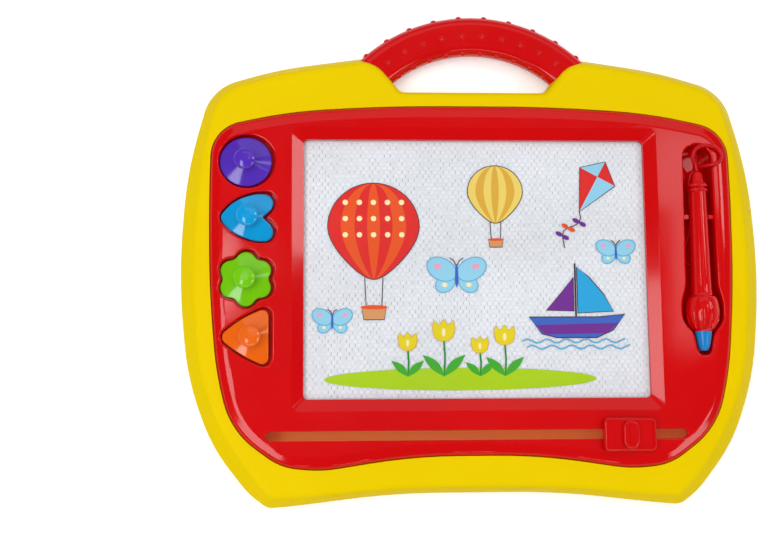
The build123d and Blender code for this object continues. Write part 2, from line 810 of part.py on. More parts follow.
def screws(label, places, head_base, head_radius, head_height, shank_radius, shank_length):
    """A group of like screws, heads down, with a cross slot in each head."""
    with BuildPart() as group:
        with BuildSketch(Plane.XY.offset(head_base)):
            with Locations(*places):
                Circle(head_radius)
        extrude(amount=head_height)
        with BuildSketch(Plane.XY.offset(head_base)):
            with Locations(*places):
                Rectangle(head_radius, head_radius / 4)
                Rectangle(head_radius / 4, head_radius)
        extrude(amount=head_height / 2, mode=Mode.SUBTRACT)
        with BuildSketch(Plane.XY.offset(head_base + head_height)):
            with Locations(*places):
                Circle(shank_radius)
        extrude(amount=shank_length)
    group.part.label = label
    export_step(group.part, "parts/" + label + ".step")


screws(
    "clamp_screws",
    clamp_screw_places,
    clamp_base + seat_gap,
    small_screw_head_radius,
    small_screw_head_height,
    small_screw_radius,
    small_screw_length - small_screw_head_height,
)
screws(
    "cover_screws",
    case_screw_places,
    case_screw_sink - case_screw_head_height,
    case_screw_head_radius,
    case_screw_head_height,
    case_screw_radius,
    case_screw_length,
)

# The eraser: a knob on the face, screwed through the slot to a bar with a magnet strip
knob_x = slot_right - knob_rest_back
knob_base = face_height + running_gap
knob_top = knob_base + knob_height
dish_length = knob_length - 2 * grip_dish_margin
neck_width = slot_width - 2 * neck_clearance
neck_reach = (neck_length - neck_width) / 2
knob_screw_places = [(knob_x + side * neck_reach, slot_y) for side in (-1, 1)]

with BuildPart() as eraser_knob:
    with BuildSketch(Plane.XY.offset(knob_base)):
        with Locations((knob_x, slot_y)):
            RectangleRounded(knob_length, knob_width, knob_corner)
    extrude(amount=knob_height)
    fillet(eraser_knob.faces().sort_by(Axis.Z)[-1].edges(), radius=knob_round)
    with BuildSketch(Plane.XY.offset(knob_top - grip_dish_depth)):
        with Locations((knob_x, slot_y)):
            RectangleRounded(dish_length, knob_width - 2 * grip_dish_margin, grip_dish_margin)
    extrude(amount=grip_dish_depth, mode=Mode.SUBTRACT)
    with BuildSketch(Plane.XY.offset(knob_base)):
        with Locations(Location((knob_x, slot_y), 90)):
            SlotOverall(grip_length, grip_width)
    extrude(amount=knob_height + grip_rise)
    fillet(eraser_knob.faces().sort_by(Axis.Z)[-1].edges(), radius=knob_round)
    with BuildSketch(Plane.XY.offset(knob_top)):
        with Locations(Location((knob_x, slot_y), 90)):
            SlotOverall(grip_length - grip_width / 2, grip_width / 4)
    extrude(amount=grip_rise + knob_round / 2)
    with BuildSketch(Plane.XY.offset(bar_top)):
        with Locations((knob_x, slot_y)):
            SlotOverall(neck_length, neck_width)
    extrude(amount=knob_base - bar_top)
    with BuildSketch(Plane.XY.offset(bar_top)):
        with Locations(*knob_screw_places):
            Circle(small_screw_radius + screw_fit)
    extrude(amount=small_screw_length, mode=Mode.SUBTRACT)
eraser_knob.part.label = "eraser_knob"
export_step(eraser_knob.part, "parts/eraser_knob.step")

magnet_length = screen_height + clamp_setback
with BuildPart() as eraser_bar:
    with BuildSketch(Plane.XY.offset(bar_base)):
        with Locations((knob_x, (bar_low_end + bar_high_end) / 2)):
            Rectangle(bar_width, bar_high_end - bar_low_end)
    extrude(amount=bar_height)
    fillet(eraser_bar.edges().filter_by(Axis.Z), radius=thin_wall)
    with BuildSketch(Plane.XY.offset(bar_top)):
        with Locations((knob_x, screen_y)):
            Rectangle(magnet_width + 2 * magnet_lip, magnet_length)
            Rectangle(magnet_width + 2 * seat_gap, magnet_length, mode=Mode.SUBTRACT)
    extrude(amount=magnet_thickness / 2)
    with BuildSketch(Plane.XY.offset(bar_base)):
        with Locations(*knob_screw_places):
            Circle(small_screw_radius + screw_fit)
    extrude(amount=bar_height, mode=Mode.SUBTRACT)
    with BuildSketch(Plane.XY.offset(bar_base)):
        with Locations(*knob_screw_places):
            Circle(small_screw_head_radius + screw_fit)
    extrude(amount=small_screw_head_height + seat_gap, mode=Mode.SUBTRACT)
eraser_bar.part.label = "eraser_bar"
export_step(eraser_bar.part, "parts/eraser_bar.step")

with BuildPart() as eraser_magnet:
    with BuildSketch(Plane.XY.offset(bar_top)):
        with Locations((knob_x, screen_y)):
            Rectangle(magnet_width, magnet_length)
    extrude(amount=magnet_thickness)
eraser_magnet.part.label = "eraser_magnet"
export_step(eraser_magnet.part, "parts/eraser_magnet.step")

screws(
    "eraser_screws",
    knob_screw_places,
    bar_base + seat_gap,
    small_screw_head_radius,
    small_screw_head_height,
    small_screw_radius,
    bar_height - small_screw_head_height + small_screw_length / 2,
)

# The stamps: a shaped skirt that rises to a round knob, over a sheet magnet of the same shape
stamp_base = well_floor + seat_gap
shell_base = stamp_base + stamp_magnet_thickness
knob_low = stamp_base + stamp_height - stamp_knob_height
stamp_top = stamp_base + stamp_height
cone_slope = tan(radians(stamp_cone_angle))
rim_height = shell_base + stamp_rim_height
neck_foot_radius = stamp_neck_radius + stamp_neck_run
neck_foot = rim_height + cone_slope * (stamp_size / 2 - neck_foot_radius)
cone_foot = rim_height - cone_slope * (stamp_cone_reach - stamp_size / 2)
knob_shift_shares = {"round": 0.0, "heart": 0.05, "flower": 0.0, "triangle": 0.24}

for name, (centre_x, centre_y) in well_centres.items():
    rest_x = centre_x - stamp_rest_shift
    grip_x = rest_x + knob_shift_shares[name] * stamp_size / 2
    grip_plane = Plane(origin=(grip_x, centre_y, 0), x_dir=(1, 0, 0), z_dir=(0, -1, 0))
    with BuildPart() as stamp_tent:
        with BuildSketch(grip_plane):
            with BuildLine():
                start = (neck_foot_radius, neck_foot)
                neck = (stamp_neck_radius, neck_foot + stamp_neck_rise)
                shoulder = (stamp_knob_radius, knob_low + stamp_knob_height / 2)
                rim = (stamp_knob_flat_radius, stamp_top)
                Line((0, shell_base), (stamp_cone_reach, shell_base))
                Line((stamp_cone_reach, shell_base), (stamp_cone_reach, cone_foot))
                Line((stamp_cone_reach, cone_foot), start)
                Spline(start, neck, shoulder, rim, tangents=[(-1, cone_slope), (-1, cone_slope)])
                Line(rim, (0, stamp_top))
                Line((0, stamp_top), (0, shell_base))
            make_face()
        revolve(axis=Axis((grip_x, centre_y, 0), (0, 0, 1)))
    with BuildPart() as stamp:
        with BuildSketch(Plane.XY.offset(shell_base)):
            with Locations((rest_x, centre_y)):
                add(stamp_face(name))
        extrude(amount=stamp_height)
        add(stamp_tent.part, mode=Mode.INTERSECT)
        outer_edges = stamp.edges().filter_by_position(Axis.Z, shell_base + seat_gap, neck_foot - seat_gap)
        fillet(outer_edges.filter_by(GeomType.LINE, reverse=True), radius=stamp_edge_round)
        with BuildSketch(Plane.XY.offset(shell_base)):
            with Locations((rest_x, centre_y)):
                add(stamp_face(name, -thin_wall))
        extrude(amount=stamp_hollow_depth, mode=Mode.SUBTRACT)
        with BuildSketch(Plane.XY.offset(stamp_top - stamp_knob_dimple_depth)):
            with Locations((grip_x, centre_y)):
                Circle(stamp_knob_dimple_radius)
        extrude(amount=stamp_knob_dimple_depth, mode=Mode.SUBTRACT)
    stamp.part.label = name + "_stamp"
    export_step(stamp.part, "parts/" + name + "_stamp.step")
    with BuildPart() as sheet_magnet:
        with BuildSketch(Plane.XY.offset(stamp_base)):
            with Locations((rest_x, centre_y)):
                add(stamp_face(name, -seat_gap))
        extrude(amount=stamp_magnet_thickness)
    sheet_magnet.part.label = name + "_magnet"
    export_step(sheet_magnet.part, "parts/" + name + "_magnet.step")

# The pen: turned profiles along its own axis, which lies along Y
pen_plane = Plane(origin=(pen_x, pen_tip_y, pen_z), x_dir=(1, 0, 0), z_dir=(0, 0, 1))
pen_axis = Axis((pen_x, pen_tip_y, pen_z), (0, 1, 0))
along_base = pen_tip_length
along_bulb = along_base + pen_bulb_length
along_neck = along_bulb + pen_shoulder_length
along_cap = along_neck + pen_barrel_length
along_tail = along_cap + pen_cap_length
low_bulb_share = (0.60, 0.72)
high_bulb_share = (0.47, 0.60)

# One groove of the bulb's grip, straighter than the bulb, so that it runs out at both ends
groove_x = pen_x + pen_bulb_radius - flute_bottom_drop - flute_run_radius
groove_plane = Plane(
    origin=(groove_x, bulb_y + flute_bottom_shift, pen_z),
    x_dir=(cos(radians(flute_neck_angle)), sin(radians(flute_neck_angle)), 0),
    z_dir=(-sin(radians(flute_neck_angle)), cos(radians(flute_neck_angle)), 0),
)
with BuildPart() as bulb_groove:
    with BuildSketch(groove_plane):
        with Locations((flute_run_radius + flute_radius, 0)):
            Circle(flute_radius)
    revolve(axis=Axis(groove_plane.origin, (0, 0, -1)), revolution_arc=flute_neck_angle + flute_tip_angle)

with BuildPart() as pen_barrel:
    with BuildSketch(pen_plane):
        with BuildLine():
            base = (pen_tip_radius + screw_fit, along_base)
            low = (
                pen_tip_radius + (pen_bulb_radius - pen_tip_radius) * low_bulb_share[1],
                along_bulb - pen_bulb_length * low_bulb_share[0],
            )
            wide = (pen_bulb_radius, along_bulb)
            high = (
                pen_neck_radius + (pen_bulb_radius - pen_neck_radius) * high_bulb_share[1],
                along_bulb + pen_shoulder_length * high_bulb_share[0],
            )
            waist = (pen_neck_radius, along_neck)
            Line((0, along_base), base)
            Spline(base, low, wide, high, waist, tangents=[(0.8, 0.6), (0, 1)])
            Line(waist, (pen_tail_radius, along_cap))
            Line((pen_tail_radius, along_cap), (0, along_cap))
            Line((0, along_cap), (0, along_base))
        make_face()
    revolve(axis=pen_axis)
    with BuildSketch(pen_plane):
        with Locations((0, along_base)):
            Rectangle(pen_bore_radius, along_cap - along_base, align=(Align.MIN, Align.MIN))
    revolve(axis=pen_axis, mode=Mode.SUBTRACT)
    for index in range(flute_count):
        add(bulb_groove.part.rotate(pen_axis, (index + 0.5) * 360 / flute_count), mode=Mode.SUBTRACT)
pen_barrel.part.label = "pen_barrel"
export_step(pen_barrel.part, "parts/pen_barrel.step")

plug_radius = pen_bore_radius - screw_fit
with BuildPart() as pen_tip:
    with BuildSketch(pen_plane):
        with BuildLine():
            nose = (pen_tip_end_radius, 0)
            flank = (pen_tip_radius * 0.81, along_base * 0.47)
            Line((0, 0), nose)
            Spline(nose, flank, (pen_tip_radius, along_base), tangents=[(1, 0.9), (0.1, 1)])
            Line((pen_tip_radius, along_base), (plug_radius, along_base))
            Line((plug_radius, along_base), (plug_radius, along_base + pen_plug_length))
            Line((plug_radius, along_base + pen_plug_length), (0, along_base + pen_plug_length))
            Line((0, along_base + pen_plug_length), (0, 0))
        make_face()
    revolve(axis=pen_axis)
    with BuildSketch(pen_plane):
        with Locations((0, along_base + pen_plug_length - pen_magnet_length)):
            Rectangle(pen_magnet_radius + screw_fit, pen_magnet_length, align=(Align.MIN, Align.MIN))
    revolve(axis=pen_axis, mode=Mode.SUBTRACT)
pen_tip.part.label = "pen_tip"
export_step(pen_tip.part, "parts/pen_tip.step")

with BuildPart() as pen_magnet:
    with BuildSketch(pen_plane):
        with Locations((0, along_base + pen_plug_length - pen_magnet_length + screw_fit)):
            Rectangle(pen_magnet_radius, pen_magnet_length - 2 * screw_fit, align=(Align.MIN, Align.MIN))
    revolve(axis=pen_axis)
pen_magnet.part.label = "pen_magnet"
export_step(pen_magnet.part, "parts/pen_magnet.step")

with BuildPart() as pen_tail_cap:
    with BuildSketch(pen_plane):
        with BuildLine():
            foot = (pen_tail_radius - pen_ring_round / 2, along_cap)
            shoulder = (pen_cap_top_radius + pen_ring_round / 2, along_cap + pen_cap_length * 0.42)
            brow = (pen_cap_top_radius, along_cap + pen_cap_length * 0.52)
            end = (pen_cap_end_radius, along_tail)
            Line((plug_radius, along_cap), foot)
            Line(foot, shoulder)
            Spline(shoulder, brow, end, tangents=[(-0.3, 1), (-1, 0.5)])
            Line(end, (0, along_tail))
            Line((0, along_tail), (0, along_cap - pen_plug_length))
            Line((0, along_cap - pen_plug_length), (plug_radius, along_cap - pen_plug_length))
            Line((plug_radius, along_cap - pen_plug_length), (plug_radius, along_cap))
        make_face()
        for ring in (0, 1):
            along_ring = along_cap + pen_ring_round + ring * pen_ring_step
            with Locations((pen_ring_radius - pen_ring_round, along_ring)):
                Circle(pen_ring_round)
    revolve(axis=pen_axis)
pen_tail_cap.part.label = "pen_tail_cap"
export_step(pen_tail_cap.part, "parts/pen_tail_cap.step")

# The tether: a limp cord that loops over the recess's edge and doubles back under the pen
cord_radii = []
for index in range(1, len(cord_route) - 1):
    before = Vector(*cord_route[index - 1]) - Vector(*cord_route[index])
    after = Vector(*cord_route[index + 1]) - Vector(*cord_route[index])
    turn = pi - radians(before.get_angle(after))
    cord_radii.append(cord_arc_share * min(before.length, after.length) / tan(turn / 2))

with BuildPart() as tether_cord:
    with BuildLine():
        cord_path = FilletPolyline(*cord_route, radius=cord_radii)
    with BuildSketch(Plane(origin=cord_path @ 0, z_dir=cord_path % 0)):
        Circle(cord_diameter / 2)
    sweep(path=cord_path)
tether_cord.part.label = "tether_cord"
export_step(tether_cord.part, "parts/tether_cord.step")

with BuildPart() as tether_knot:
    with Locations((cord_end[0], cord_end[1] + knot_radius * 0.8, cord_end[2])):
        Sphere(knot_radius)
    split(bisect_by=Plane.XZ.offset(-cord_end[1]), keep=Keep.BOTTOM)
tether_knot.part.label = "tether_knot"
export_step(tether_knot.part, "parts/tether_knot.step")
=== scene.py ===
"""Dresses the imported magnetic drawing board: its moulded plastics, the honeycomb screen with a printed
picture, the stamps, the pen and its tether, and the small studio that shows them.

Everything is in metres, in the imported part's own frame: X to the right, Y towards the handle,
Z out of the drawing face.
"""

import random
from math import cos, pi, radians, sin, sqrt

import bpy
from bpy.props import FloatProperty, FloatVectorProperty, IntProperty, PointerProperty
from mathutils import Euler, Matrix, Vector


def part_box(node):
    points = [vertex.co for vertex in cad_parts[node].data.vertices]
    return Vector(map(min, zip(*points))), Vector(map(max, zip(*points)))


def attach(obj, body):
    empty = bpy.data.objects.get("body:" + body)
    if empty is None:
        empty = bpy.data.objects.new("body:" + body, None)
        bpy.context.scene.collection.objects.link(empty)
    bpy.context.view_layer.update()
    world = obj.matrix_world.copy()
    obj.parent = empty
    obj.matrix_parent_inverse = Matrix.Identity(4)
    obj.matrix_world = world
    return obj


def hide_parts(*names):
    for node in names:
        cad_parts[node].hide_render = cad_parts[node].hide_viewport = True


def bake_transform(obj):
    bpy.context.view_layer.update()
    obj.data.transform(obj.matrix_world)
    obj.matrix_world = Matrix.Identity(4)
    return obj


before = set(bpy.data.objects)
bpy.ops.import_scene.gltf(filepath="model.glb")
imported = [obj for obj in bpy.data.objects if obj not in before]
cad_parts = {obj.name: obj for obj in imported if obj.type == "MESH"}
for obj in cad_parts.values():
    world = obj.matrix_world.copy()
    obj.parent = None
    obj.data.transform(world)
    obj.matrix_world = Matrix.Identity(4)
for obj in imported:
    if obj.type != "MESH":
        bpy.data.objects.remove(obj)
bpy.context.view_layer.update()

bl_info = {
    "name": "Magnetic drawing board",
    "version": (1, 0, 0),
    "blender": (4, 5, 0),
    "location": "3D View > Sidebar > Drawing board",
    "description": "Dresses a magnetic drawing board for children and lights it",
    "category": "Object",
}

# The tether's route, the same points as the solid's, from the pen's tail to its knot
CORD_ROUTE = [
    (0.1654, 0.0599, 0.0236),
    (0.1654, 0.0649, 0.0236),
    (0.1620, 0.0689, 0.0250),
    (0.1623, 0.0749, 0.0268),
    (0.1676, 0.0789, 0.0282),
    (0.1756, 0.0787, 0.0286),
    (0.1824, 0.0749, 0.0284),
    (0.1828, 0.0680, 0.0284),
    (0.1770, 0.0645, 0.0286),
    (0.1702, 0.0647, 0.0228),
    (0.1650, 0.0629, 0.0166),
    (0.1622, 0.0549, 0.0132),
    (0.1624, 0.0413, 0.0128),
    (0.1627, 0.0283, 0.0128),
    (0.1616, 0.0153, 0.0128),
    (0.1569, 0.0033, 0.0128),
    (0.1570, -0.0039, 0.0128),
    (0.1621, -0.0091, 0.0128),
    (0.1694, -0.0090, 0.0128),
    (0.1743, -0.0038, 0.0128),
    (0.1739, 0.0035, 0.0128),
    (0.1693, 0.0153, 0.0128),
    (0.1682, 0.0303, 0.0128),
    (0.1689, 0.0573, 0.0128),
    (0.1689, 0.0828, 0.0128),
]

CORD_RADIUS = 0.0015
CORD_SIDES = 16
STAMP_NAMES = ("round", "heart", "flower", "triangle")

# Where painted light goes on the cover under the knob's slot: along each axis its share goes from one
# value to the other between two places, in metres
SLOT_PAINTED_LIGHT = (
    ("X", 1, 0, 0.165, 0.166),
    ("X", 0, 1, -0.166, -0.165),
    ("Y", 1, 0, -0.121, -0.119),
    ("Y", 0, 1, -0.141, -0.139),
    ("Z", 0, 1, 0.0016, 0.0018),
)


def linear(red, green, blue):
    """Scene-linear colour from the three bytes of a paint chart."""
    shares = [byte / 255 for byte in (red, green, blue)]
    return tuple(((share + 0.055) / 1.055) ** 2.4 if share > 0.04 else share / 12.92 for share in shares)


def colour_property(label, description, chart):
    """A colour that a user can pick, given as chart bytes."""
    default = linear(*chart)
    return FloatVectorProperty(
        name=label, description=description, subtype="COLOR", size=3, min=0, max=1, default=default
    )


def length_property(label, description, default):
    """A length that a user can change."""
    return FloatProperty(
        name=label, description=description, default=default, min=0, unit="LENGTH", precision=5
    )


def level_property(label, description, default):
    """A brightness or a share that a user can change."""
    return FloatProperty(name=label, description=description, default=default, min=0)


class PlasticColours(bpy.types.PropertyGroup):
    """Colours of the moulded pieces."""

    case: colour_property("Case", "Yellow of the rim and the back", (238, 206, 0))
    face: colour_property("Face", "Red of the face, the handle, the pen and the knob", (212, 0, 4))
    round_stamp: colour_property("Round stamp", "Purple plastic", (84, 44, 186))
    heart_stamp: colour_property("Heart stamp", "Blue plastic", (0, 158, 222))
    flower_stamp: colour_property("Flower stamp", "Green plastic", (120, 208, 0))
    triangle_stamp: colour_property("Triangle stamp", "Orange plastic", (246, 108, 10))
    pen_tip: colour_property("Pen tip", "Blue writing tip", (8, 128, 200))
    cord: colour_property("Tether", "Red soft cord", (204, 0, 8))
    # The next two colours are painted light under the knob's slot: a warm tint and a glow on the rear
    # cover
    slot_painted_light: colour_property("Slot floor", "Rear cover under the slot, warmly lit", (240, 160, 88))
    slot_painted_glow: colour_property("Slot glow", "Light through the shells under the slot", (112, 26, 16))
    inner: colour_property("Inner parts", "Grey plastic of the bar and clamps", (150, 150, 152))


class ScreenSizes(bpy.types.PropertyGroup):
    """Sizes and colours of the drawing screen."""

    pitch: length_property("Cell pitch", "Distance from one cell to the next in a row", 0.00433)
    row_step: length_property("Row step", "Distance from one row of cells to the next", 0.00301)
    wall: length_property("Cell wall", "Width of the wall between two cells", 0.0005)
    slope: length_property("Cell slope", "How far a cell's side leans in", 0.00036)
    depth: length_property("Cell depth", "Depth of a cell below its wall", 0.0003)
    clearance: length_property("Clearance", "Room between the cell walls and the film", 0.00002)
    paper: colour_property("Cells", "White of the cell walls", (226, 230, 238))
    floor: colour_property("Cell floor", "Milky liquid in the cells", (238, 240, 244))
    # The next colour is painted shade: a darker side wall in some cells, where the pocket is in shade
    powder: colour_property("Powder", "Iron powder left at a cell's side", (128, 133, 146))
    painted_shade_share: level_property("Powder share", "Share of the cells with powder", 0.5)
    seed: IntProperty(name="Seed", description="Which cells hold powder", default=7)
    ink_step: length_property("Ink step", "Height of one printed layer over the next", 0.000012)


class StudioSettings(bpy.types.PropertyGroup):
    """The camera, the lamps and the floor."""

    camera_place: FloatVectorProperty(
        name="Camera", description="Place of the lens", subtype="TRANSLATION", unit="LENGTH",
        default=(-0.10228, -0.10934, 0.80484),
    )
    camera_turn: FloatVectorProperty(
        name="Camera turn", description="Angles of the lens about X, Y and Z", subtype="EULER",
        unit="ROTATION", default=(radians(7.167), radians(-2.684), radians(-0.393)),
    )
    lens: FloatProperty(name="Lens", description="Focal length in mm on a 36 mm sensor", default=51.56)
    floor_reach: length_property("Floor reach", "Half the width of the floor", 40.0)
    floor_drop: length_property("Floor drop", "Air between the board's back and the floor", 0.0003)
    floor_glow: level_property("Floor glow", "White that the camera adds to the floor", 0.3)
    walls: level_property("Walls", "Brightness of the room near the floor", 0.55)
    ceiling: level_property("Ceiling", "Brightness of the room above", 0.12)
    overhead: level_property("Overhead", "Brightness of the overhead diffuser", 1.85)


def settings():
    """The three groups of settings on the scene."""
    scene = bpy.context.scene
    return scene.board_colours, scene.board_screen, scene.board_studio


def new_material(name):
    """A material with its nodes, links and main shader."""
    material = bpy.data.materials.new(name)
    material.use_nodes = True
    nodes = material.node_tree.nodes
    return material, nodes, material.node_tree.links, nodes["Principled BSDF"]


def noise_node(nodes, links, coords, scale, detail, stretch=(1, 1, 1)):
    """Noise over the piece's own coordinates, with an optional stretch."""
    mapping = nodes.new("ShaderNodeMapping")
    mapping.inputs["Scale"].default_value = stretch
    links.new(coords, mapping.inputs["Vector"])
    noise = nodes.new("ShaderNodeTexNoise")
    noise.inputs["Scale"].default_value = scale
    noise.inputs["Detail"].default_value = detail
    links.new(mapping.outputs["Vector"], noise.inputs["Vector"])
    return noise


def ranged(nodes, links, source, low, high, start=0.35, end=0.65):
    """A value spread between two limits."""
    spread = nodes.new("ShaderNodeMapRange")
    spread.inputs["From Min"].default_value = start
    spread.inputs["From Max"].default_value = end
    spread.inputs["To Min"].default_value = low
    spread.inputs["To Max"].default_value = high
    links.new(source, spread.inputs["Value"])
    return spread.outputs["Result"]


def combined(nodes, links, operation, *values):
    """A math node that is linked to the given values."""
    node = nodes.new("ShaderNodeMath")
    node.operation = operation
    for value, socket in zip(values, node.inputs):
        links.new(value, socket)
    return node


def shade(colour, factor):
    """A darker or lighter version of a colour."""
    return (*[min(channel * factor, 1) for channel in colour], 1)


def moulded_plastic(name, colour, roughness, coat=0.0, peel=0.00003, wear=0.05, specular=0.5):
    """Moulded plastic: faint flow marks in its colour, smudges in its gloss, and orange peel."""
    material, nodes, links, shader = new_material(name)
    coords = nodes.new("ShaderNodeTexCoord").outputs["Object"]
    flow = noise_node(nodes, links, coords, scale=9, detail=2, stretch=(1, 1.7, 1))
    tint = nodes.new("ShaderNodeMix")
    tint.data_type = "RGBA"
    tint.inputs["A"].default_value = shade(colour, 1 - wear)
    tint.inputs["B"].default_value = shade(colour, 1 + wear)
    links.new(ranged(nodes, links, flow.outputs["Fac"], 0, 1), tint.inputs["Factor"])
    links.new(tint.outputs["Result"], shader.inputs["Base Color"])
    smudge = noise_node(nodes, links, coords, scale=38, detail=4)
    gloss = ranged(nodes, links, smudge.outputs["Fac"], roughness * 0.85, roughness * 1.35)
    links.new(gloss, shader.inputs["Roughness"])
    grain = noise_node(nodes, links, coords, scale=900, detail=2)
    bump = nodes.new("ShaderNodeBump")
    bump.inputs["Strength"].default_value = 0.35
    bump.inputs["Distance"].default_value = peel
    links.new(grain.outputs["Fac"], bump.inputs["Height"])
    links.new(bump.outputs["Normal"], shader.inputs["Normal"])
    shader.inputs["Specular IOR Level"].default_value = specular
    shader.inputs["Coat Weight"].default_value = coat
    shader.inputs["Coat Roughness"].default_value = 0.04
    return material


def dress(node_names, material):
    """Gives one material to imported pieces."""
    for name in node_names:
        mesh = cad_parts[name].data
        mesh.materials.clear()
        mesh.materials.append(material)


def new_piece(name, vertices, faces, materials, face_materials=None, smooth=False):
    """A mesh object made of points and faces."""
    mesh = bpy.data.meshes.new(name)
    mesh.from_pydata(vertices, [], faces)
    for material in materials:
        mesh.materials.append(material)
    if face_materials:
        mesh.polygons.foreach_set("material_index", face_materials)
    mesh.polygons.foreach_set("use_smooth", [smooth] * len(mesh.polygons))
    mesh.update()
    piece = bpy.data.objects.new(name, mesh)
    bpy.context.scene.collection.objects.link(piece)
    return piece


SOFTBOXES = (
    # name, place, width, depth, brightness: each stands where the glossy face should show it
    ("key_softbox", (-0.74, -0.43, 1.2), 0.46, 1.14, 4.6),
    ("window_softbox", (1.22, 0.45, 1.2), 0.52, 0.42, 5.0),
    ("pen_softbox", (0.585, 0.33, 1.2), 0.21, 0.16, 2.4),
    ("strip_softbox", (0.54, 0.12, 1.2), 0.05, 0.26, 2.0),
    ("stamp_softbox", (-0.335, 0.128, 1.2), 0.13, 0.16, 5.0),
    ("top_softbox", (0.22, 1.2, 1.2), 1.9, 1.1, 0.55),
    ("corner_softbox", (1.2, -0.68, 1.2), 0.5, 0.7, 4.2),
    ("front_softbox", (-0.1, -1.5, 1.2), 1.4, 0.3, 3.0),
)

# The wide diffuser over everything, square, which the gloss doesn't show
OVERHEAD_PLACE = (-0.2, 0.3, 2.2)
OVERHEAD_SIZE = 2.0


class BOARD_OT_stage(bpy.types.Operator):
    """Sets up the floor, the lamps, the sky and the camera"""

    bl_idname = "board.stage"
    bl_label = "Studio"

    def execute(self, context):
        studio = settings()[2]
        scene = context.scene
        scene.view_settings.view_transform = "Standard"
        material, nodes, links, shader = new_material("floor_paper")
        shader.inputs["Base Color"].default_value = (0.9, 0.9, 0.9, 1)
        shader.inputs["Roughness"].default_value = 0.9
        path = nodes.new("ShaderNodeLightPath").outputs
        seen = combined(nodes, links, "MAXIMUM", path["Is Camera Ray"], path["Is Glossy Ray"])
        through = combined(nodes, links, "MAXIMUM", seen.outputs["Value"], path["Is Transmission Ray"])
        glow = combined(nodes, links, "MULTIPLY", through.outputs["Value"])
        glow.inputs[1].default_value = studio.floor_glow
        shader.inputs["Emission Color"].default_value = (1, 1, 1, 1)
        links.new(glow.outputs["Value"], shader.inputs["Emission Strength"])
        reach = studio.floor_reach
        sides = ((-1, -1), (1, -1), (1, 1), (-1, 1))
        corners = [(reach * across, reach * up, -studio.floor_drop) for across, up in sides]
        floor = new_piece("floor", corners, [(0, 1, 2, 3)], [material])

        world = bpy.data.worlds.new("studio_room")
        world.use_nodes = True
        scene.world = world
        nodes, links = world.node_tree.nodes, world.node_tree.links
        height = nodes.new("ShaderNodeSeparateXYZ")
        links.new(nodes.new("ShaderNodeTexCoord").outputs["Generated"], height.inputs["Vector"])
        wall = ranged(
            nodes, links, height.outputs["Z"], studio.walls, studio.ceiling, start=0.16, end=0.5
        )
        nodes["Background"].inputs["Color"].default_value = (1, 1, 1, 1)
        links.new(wall, nodes["Background"].inputs["Strength"])

        for name, place, width, depth, brightness in SOFTBOXES:
            self.softbox(name, place, width, depth, brightness)
        overhead = self.softbox(
            "overhead_diffuser", OVERHEAD_PLACE, OVERHEAD_SIZE, OVERHEAD_SIZE, studio.overhead
        )
        overhead.visible_glossy = False

        camera = bpy.data.objects.new("camera", bpy.data.cameras.new("camera"))
        camera.data.lens = studio.lens
        camera.data.sensor_width = 36
        camera.location = studio.camera_place
        camera.rotation_euler = Euler(studio.camera_turn)
        scene.collection.objects.link(camera)
        scene.camera = camera
        return {"FINISHED"}

    def softbox(self, name, place, width, depth, brightness):
        """A rectangular lamp over the board that faces straight down."""
        light = bpy.data.lights.new(name, "AREA")
        light.shape = "RECTANGLE"
        light.size = width
        light.size_y = depth
        light.energy = brightness * pi * width * depth
        lamp = bpy.data.objects.new(name, light)
        lamp.location = place
        bpy.context.scene.collection.objects.link(lamp)
        return lamp


def smooth_route(points):
    """Points along the smooth line that a limp cord takes past its route's points."""
    curve = bpy.data.curves.new("tether_line", "CURVE")
    curve.dimensions = "3D"
    curve.resolution_u = 8
    spline = curve.splines.new("NURBS")
    spline.points.add(len(points) - 1)
    for place, target in zip(points, spline.points):
        target.co = (*place, 1)
    spline.order_u = 3
    spline.use_endpoint_u = True
    holder = bpy.data.objects.new("tether_line", curve)
    bpy.context.scene.collection.objects.link(holder)
    bpy.context.view_layer.update()
    mesh = bpy.data.meshes.new_from_object(holder)
    line = [vertex.co.copy() for vertex in mesh.vertices]
    bpy.data.objects.remove(holder)
    bpy.data.meshes.remove(mesh)
    return line


class BOARD_OT_tether(bpy.types.Operator):
    """Makes the soft cord that ties the pen to the board"""

    bl_idname = "board.tether"
    bl_label = "Tether"

    def execute(self, context):
        colours = settings()[0]
        line = smooth_route(CORD_ROUTE)
        across = Vector((1, 0, 0))
        vertices = []
        for index, place in enumerate(line):
            ahead = line[min(index + 1, len(line) - 1)] - line[max(index - 1, 0)]
            ahead.normalize()
            across = (across - ahead * across.dot(ahead)).normalized()
            side = ahead.cross(across)
            for step in range(CORD_SIDES):
                angle = 2 * pi * step / CORD_SIDES
                spoke = across * CORD_RADIUS * cos(angle) + side * CORD_RADIUS * sin(angle)
                vertices.append(place + spoke)
        faces = []
        for ring in range(len(line) - 1):
            for step in range(CORD_SIDES):
                here = ring * CORD_SIDES + step
                beside = ring * CORD_SIDES + (step + 1) % CORD_SIDES
                faces.append((here, beside, beside + CORD_SIDES, here + CORD_SIDES))
        faces.append(tuple(reversed(range(CORD_SIDES))))
        faces.append(tuple(range(len(vertices) - CORD_SIDES, len(vertices))))
        vinyl = moulded_plastic("cord_vinyl", colours.cord, roughness=0.24, peel=0.00006, specular=0.3)
        cord = new_piece("tether_cord_soft", vertices, faces, [vinyl], smooth=True)
        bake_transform(cord)
        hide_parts("tether_cord")
        dress(["tether_knot"], vinyl)
        return {"FINISHED"}


